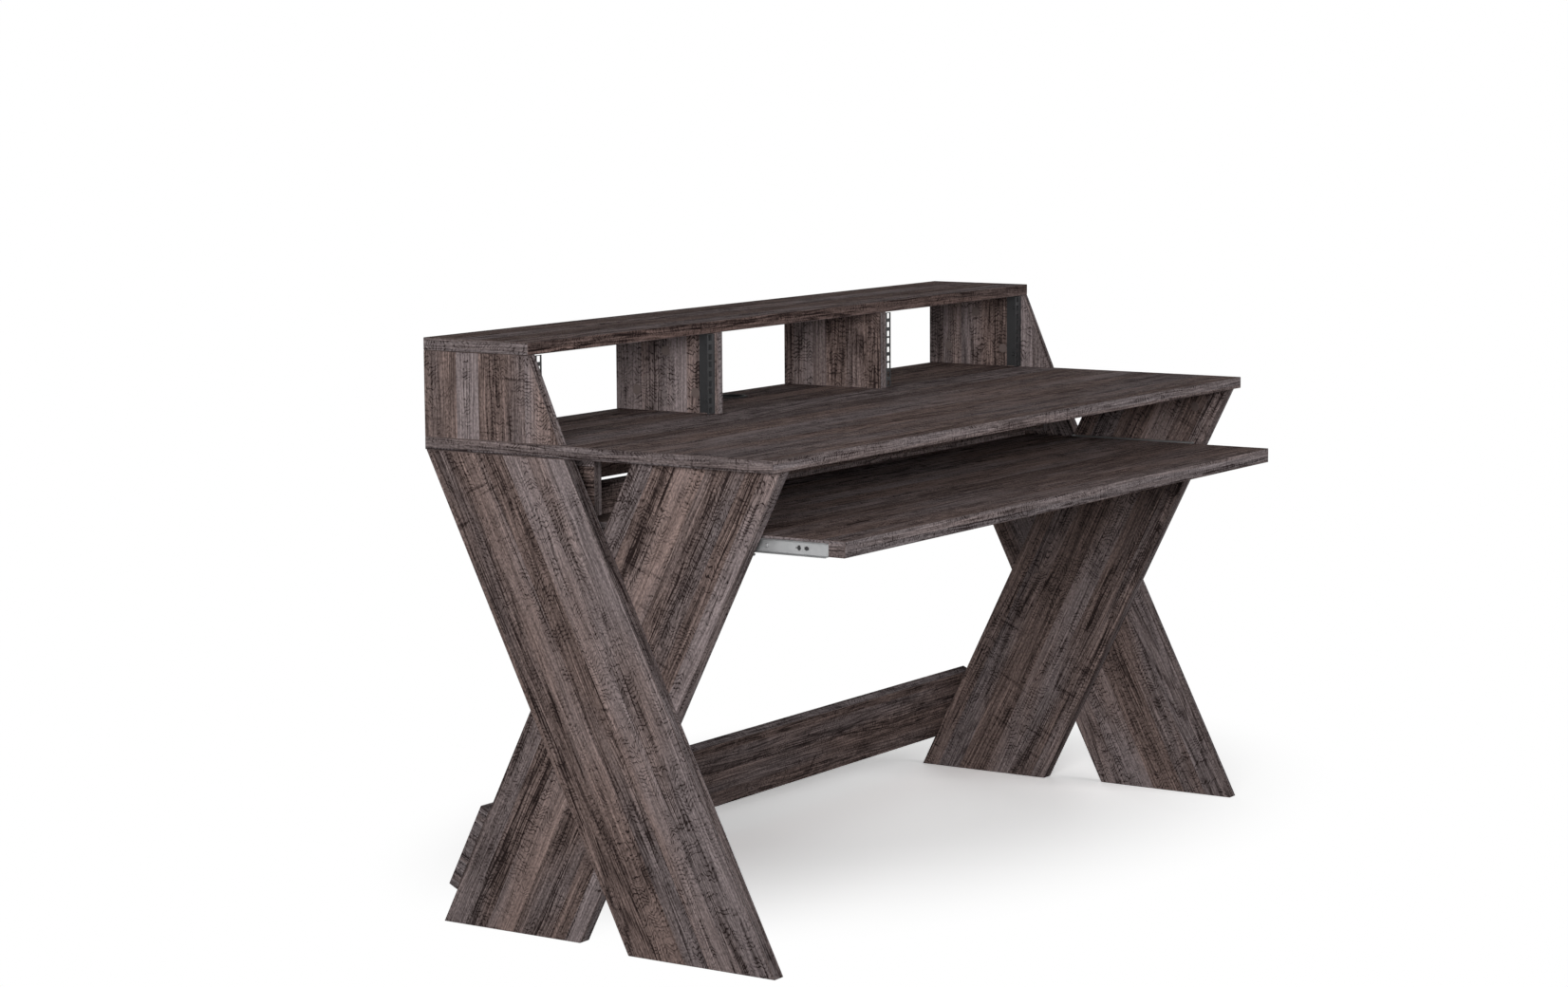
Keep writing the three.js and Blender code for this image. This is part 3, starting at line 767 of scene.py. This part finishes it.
def ball_cage(name, side):
    """A bent strip that holds two rows of balls"""
    node = f"ball_cage_{name}"
    low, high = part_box(node)
    face = face_towards(f"inner_leg_{name}", -side)
    front, back = low.y, high.y
    middle = (low.z + high.z) / 2

    bend = BALL_ROW_RISE + CAGE_FLANGE_RISE - CAGE_SHEET
    upper = [(CAGE_FLANGE_REACH, bend + CAGE_SHEET)]
    for i in range(CAGE_BEND_STEPS + 1):
        angle = math.pi / 2 * (1 + i / CAGE_BEND_STEPS)
        depth = CAGE_WEB_DEPTH + CAGE_SHEET * (1 + math.cos(angle))
        upper.append((depth, bend + CAGE_SHEET * math.sin(angle)))
    path = upper + [(depth, -rise) for depth, rise in reversed(upper)]
    bm = bmesh.new()
    verts = [bm.verts.new((face - side * depth, front, middle + rise)) for depth, rise in path]
    edges = [bm.edges.new(pair) for pair in zip(verts, verts[1:])]
    made = bmesh.ops.extrude_edge_only(bm, edges=edges)
    bmesh.ops.translate(bm, verts=parts_of(made, bmesh.types.BMVert), vec=(0, back - front, 0))
    bmesh.ops.recalc_face_normals(bm, faces=bm.faces)
    bmesh.ops.solidify(bm, geom=list(bm.faces), thickness=CAGE_SHEET / 2)
    bmesh.ops.recalc_face_normals(bm, faces=bm.faces)
    for i in range(BALLS_PER_ROW):
        for row in (-1, 1):
            y = (front + back) / 2 + (i - (BALLS_PER_ROW - 1) / 2) * BALL_PITCH
            place = Vector((face - side * BALL_ROW_DEPTH, y, middle + row * BALL_ROW_RISE))
            bmesh.ops.create_uvsphere(
                bm,
                u_segments=BALL_SIDES,
                v_segments=BALL_RINGS,
                radius=BALL_RADIUS,
                matrix=Matrix.Translation(place),
            )
    smooth_bends(bm, CAGE_SHARP_FROM)
    return finish_piece(f"caged_balls_{name}", bm, [BRIGHT], nodes[node]["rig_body"], [node])


# Slides with their screws, cages and bumpers
for name, side in SIDES.items():
    metal_copy(f"slide_outer_{name}", f"slide_leg_member_{name}", ZINC)
    metal_copy(f"slide_inner_{name}", f"slide_tray_member_{name}", ZINC)
    metal_copy(
        f"slide_bumper_{name}",
        f"slide_stop_{name}",
        BLACK_PLASTIC,
        BUMPER_ROUNDING,
        BUMPER_ROUNDING_STEPS,
    )
    ball_cage(name, side)

    low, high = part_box(f"slide_outer_{name}")
    rise = (low.z + high.z) / 2
    on_leg = face_towards(f"inner_leg_{name}", -side) - side * SLIDE_SHEET
    into_desk = Vector((-side, 0, 0))
    places = [
        (Vector((on_leg, low.y + share * (high.y - low.y), rise)), into_desk) for share in LEG_SCREW_SHARES
    ]
    heads(f"slide_leg_screws_{name}", FLAT_HEAD, places, ZINC, "desk")

    low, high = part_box(f"slide_inner_{name}")
    on_tray = face_towards("keyboard_tray", side) + side * SLIDE_SHEET
    places = [
        (Vector((on_tray, low.y + share * (high.y - low.y), rise)), -into_desk) for share in TRAY_SCREW_SHARES
    ]
    heads(f"slide_tray_screws_{name}", PAN_HEAD, places, ZINC, "tray")
    # Black heads in the front slots, so that the slots read dark: their black is painted shade in the slots.
    places = [
        (Vector((on_tray, low.y + SLOT_FROM_FRONT + i * SLOT_PITCH, rise)), -into_desk) for i in range(2)
    ]
    heads(f"slide_slot_screws_{name}", FLAT_HEAD, places, BLACK_STEEL, "tray")

# Rack rails and their screws
for name, side in SIDES.items():
    for place_name, wall_node, wall_side in (
        ("outer", f"hutch_side_{name}", side),
        ("inner", f"divider_{name}", -side),
    ):
        node = f"rack_rail_{name}_{place_name}"
        metal_copy(node, f"rail_{name}_{place_name}", BLACK_STEEL)
        low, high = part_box(node)
        on_wall = face_towards(wall_node, -wall_side) - wall_side * RAIL_SHEET
        depth = low.y + (RAIL_SHEET + RAIL_SIDE_FLANGE) / 2
        places = [
            (Vector((on_wall, depth, z)), Vector((-wall_side, 0, 0)))
            for z in (low.z + RACK_UNIT / 2, high.z - RACK_UNIT / 2)
        ]
        heads(f"rail_screws_{name}_{place_name}", PAN_HEAD, places, BLACK_STEEL, "desk")

# Steel angles under the top, each with a screw up into the top and one into its board
under_top, over_top = (corner.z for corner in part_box("tabletop"))
for name, side in SIDES.items():
    apron_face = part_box("rear_apron")[0].y
    side_face = face_towards(f"side_board_{name}", -side)
    leg_middle = (ANGLE_LEG + ANGLE_SHEET) / 2
    angles = (
        (f"apron_angle_{name}", Vector((0, -1, 0)), 1, apron_face),
        (f"side_board_angle_{name}", Vector((-side, 0, 0)), 0, side_face),
    )
    for node, out, axis, face in angles:
        metal_copy(node, f"{node}_bent", ZINC)
        seat = middle_of(node)
        seat[axis] = face
        seat.z = under_top
        up_place = seat + out * leg_middle - UP * ANGLE_SHEET
        in_place = seat + out * ANGLE_SHEET - UP * leg_middle
        heads(f"{node}_screws", PAN_HEAD, [(up_place, -UP), (in_place, out)], ZINC, "desk")

# Long screws through the stretcher, out of its rear face
stretcher = copy_of("stretcher")
rear_faces = [face for face in stretcher.faces if face.normal.y > 0.5 and face.normal.z > 0]
rearward = max(rear_faces, key=lambda face: face.calc_area()).normal.copy()
stretcher.free()
for name in SIDES:
    for end in ("low", "high"):
        node = f"stretcher_screw_{name}_{end}"
        verts = [vert.co.copy() for vert in nodes[node].data.vertices]
        reach = max(vert.dot(rearward) for vert in verts)
        rim = [vert for vert in verts if vert.dot(rearward) > reach - 0.01 * MM]
        spans = [[vert[i] for vert in rim] for i in range(3)]
        centre = Vector([(min(span) + max(span)) / 2 for span in spans])
        heads(f"long_screw_{name}_{end}", LONG_HEAD, [(centre, rearward)], ZINC, "desk", [node])


def cam(node, out, toward):
    """A cam disc with its bolt, standing in the hole of its board, and a cap over it"""
    low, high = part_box(node)
    centre = middle_of(node)
    centre.z = low.z + CAM_RADIUS if toward > 0 else high.z - CAM_RADIUS
    seat = centre.copy()
    seat.x = face_towards(node, out)
    bm = bmesh.new()
    set_in(bm, CAM_DISC, seat, Vector((out, 0, 0)), CAM_TURN)
    far = high.z if toward > 0 else low.z
    near = centre.z + toward * CAM_RADIUS / 2
    bmesh.ops.create_cone(
        bm,
        cap_ends=True,
        segments=CAM_BOLT_SIDES,
        radius1=CAM_BOLT_RADIUS,
        radius2=CAM_BOLT_RADIUS,
        depth=abs(far - near),
        matrix=Matrix.Translation((centre.x, centre.y, (far + near) / 2)),
    )
    finish_piece(f"{node}_disc", bm, [ZINC], "desk", [node])
    heads(f"{node}_cap", CAM_CAP, [(seat, Vector((out, 0, 0)))], CAP_PLASTIC, "desk")


for name, side in SIDES.items():
    for end in ("front", "rear"):
        cam(f"outer_leg_cam_{name}_{end}", -side, 1)
        cam(f"inner_leg_cam_{name}_{end}", -side, 1)
        cam(f"hutch_side_{name}_low_cam_{end}", -side, -1)
        cam(f"divider_{name}_low_cam_{end}", side, -1)
    cam(f"hutch_side_{name}_top_cam", -side, 1)
    cam(f"divider_{name}_top_cam", side, 1)
    stud = nodes[f"crossing_stud_{name}"]
    stud.data.materials.clear()
    stud.data.materials.append(ZINC)


def cable_outlet():
    """A turned liner with a rounded flange, standing in the hole of the top"""
    low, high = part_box("cable_grommet")
    centre = (low + high) / 2
    flange = (high.x - low.x) / 2
    inside = OUTLET_BORE / 2
    outside = inside + OUTLET_WALL
    top = high.z
    profile = [
        (inside, low.z),
        (inside, top - 0.6 * MM),
        (inside + 0.25 * MM, top - 0.15 * MM),
        (inside + 0.9 * MM, top),
        (flange - 2.2 * MM, top),
        (flange - 1.0 * MM, top - 0.25 * MM),
        (flange - 0.25 * MM, top - 0.75 * MM),
        (flange, over_top),
        (outside, over_top),
        (outside, low.z),
    ]
    bm = bmesh.new()
    verts = [bm.verts.new((centre.x + radius, centre.y, z)) for radius, z in profile]
    edges = [bm.edges.new((verts[i], verts[(i + 1) % len(verts)])) for i in range(len(verts))]
    bmesh.ops.spin(
        bm,
        geom=verts + edges,
        cent=centre,
        axis=UP,
        angle=2 * math.pi,
        steps=OUTLET_STEPS,
        use_merge=True,
        use_duplicate=False,
    )
    bmesh.ops.remove_doubles(bm, verts=bm.verts, dist=SAME_PLACE)
    bmesh.ops.recalc_face_normals(bm, faces=bm.faces)
    smooth_bends(bm, SHARP_FROM)
    finish_piece("outlet_liner", bm, [BLACK_PLASTIC], "desk", ["cable_grommet"])


cable_outlet()


# Floor, light and camera
def seen_rays(tree):
    """One where a surface is seen by the camera, in gloss or through glass"""
    rays = add(tree, "ShaderNodeLightPath").outputs
    seen = calc(tree, "MAXIMUM", rays["Is Camera Ray"], rays["Is Glossy Ray"])
    return calc(tree, "MAXIMUM", seen, rays["Is Transmission Ray"])


def pale_floor():
    """A pale floor that shows the desk's shadow, turns plain white away from it, and is clear from below"""
    material = bpy.data.materials.new("pale_floor")
    material.use_nodes = True
    tree = material.node_tree
    tree.nodes.clear()
    output = tree.nodes.new("ShaderNodeOutputMaterial")
    plain = add(tree, "ShaderNodeBsdfDiffuse", {"Color": plain_grey(FLOOR_BOUNCE)})
    lit = add(tree, "ShaderNodeBsdfDiffuse", {"Color": plain_grey(FLOOR_PALE)})
    twice = add(tree, "ShaderNodeAddShader", {0: lit.outputs[0], 1: lit.outputs[0]})
    glow = add(tree, "ShaderNodeEmission", {"Color": plain_grey(1), "Strength": FLOOR_GLOW})
    near = add(tree, "ShaderNodeAddShader", {0: twice.outputs[0], 1: glow.outputs[0]})
    white = add(tree, "ShaderNodeEmission", {"Color": plain_grey(1), "Strength": 1.0})
    place = add(tree, "ShaderNodeTexCoord").outputs["Object"]
    shift = add(tree, "ShaderNodeVectorMath", {0: place, 1: SHADOW_MIDDLE}, operation="SUBTRACT")
    oval = add(tree, "ShaderNodeVectorMath", {0: shift.outputs[0], 1: SHADOW_SQUEEZE}, operation="MULTIPLY")
    away = add(tree, "ShaderNodeVectorMath", {0: oval.outputs[0]}, operation="LENGTH")
    whiteness = fade(tree, away.outputs["Value"], SHADOW_REACH, WHITE_FROM)
    shown = mix_shaders(tree, whiteness, near.outputs[0], white.outputs[0])
    from_above = mix_shaders(tree, seen_rays(tree), plain.outputs[0], shown)
    below = add(tree, "ShaderNodeNewGeometry").outputs["Backfacing"]
    clear = add(tree, "ShaderNodeBsdfTransparent").outputs[0]
    tree.links.new(mix_shaders(tree, below, from_above, clear), output.inputs["Surface"])

    bm = bmesh.new()
    bmesh.ops.create_grid(bm, x_segments=2, y_segments=2, size=FLOOR_SIZE)
    mesh = bpy.data.meshes.new("floor")
    bm.to_mesh(mesh)
    bm.free()
    mesh.materials.append(material)
    floor = bpy.data.objects.new("floor", mesh)
    bpy.context.scene.collection.objects.link(floor)


def white_world(level):
    """A world that looks white and lights the desk only at that level"""
    world = bpy.data.worlds.new("studio")
    world.use_nodes = True
    tree = world.node_tree
    tree.nodes.clear()
    output = tree.nodes.new("ShaderNodeOutputWorld")
    plain = add(tree, "ShaderNodeBackground", {"Color": plain_grey(1), "Strength": level})
    white = add(tree, "ShaderNodeBackground", {"Color": plain_grey(1), "Strength": 1.0})
    shown = mix_shaders(tree, seen_rays(tree), plain.outputs[0], white.outputs[0])
    tree.links.new(shown, output.inputs["Surface"])
    bpy.context.scene.world = world


def softbox(name, place, target, width, height, power, spread):
    light = bpy.data.lights.new(name, "AREA")
    light.shape = "RECTANGLE"
    light.size = width
    light.size_y = height
    light.energy = power
    light.spread = math.radians(spread)
    lamp = bpy.data.objects.new(name, light)
    lamp.visible_camera = False
    look = (Vector(target) - Vector(place)).to_track_quat("-Z", "Y").to_matrix().to_4x4()
    lamp.matrix_world = Matrix.Translation(place) @ look
    bpy.context.scene.collection.objects.link(lamp)


def camera():
    data = bpy.data.cameras.new("camera")
    data.sensor_fit = "HORIZONTAL"
    data.sensor_width = SENSOR
    data.lens = FOCAL_PIXELS / IMAGE_WIDTH * SENSOR
    data.clip_end = FARTHEST_SEEN
    turn, tilt, roll = CAMERA_TURN, CAMERA_TILT, CAMERA_ROLL
    ahead = Vector((math.sin(turn) * math.cos(tilt), math.cos(turn) * math.cos(tilt), math.sin(tilt)))
    level = Vector((math.cos(turn), -math.sin(turn), 0))
    upright = level.cross(ahead)
    right = math.cos(roll) * level + math.sin(roll) * upright
    top = math.cos(roll) * upright - math.sin(roll) * level
    seat = Matrix((right, top, -ahead)).transposed().to_4x4()
    seat.translation = CAMERA_PLACE
    made = bpy.data.objects.new("camera", data)
    made.matrix_world = seat
    bpy.context.scene.collection.objects.link(made)
    bpy.context.scene.camera = made


pale_floor()
white_world(WORLD_LEVEL)
for name, values in SOFTBOXES.items():
    softbox(name, *values)
camera()

bpy.context.scene.view_settings.view_transform = "Standard"
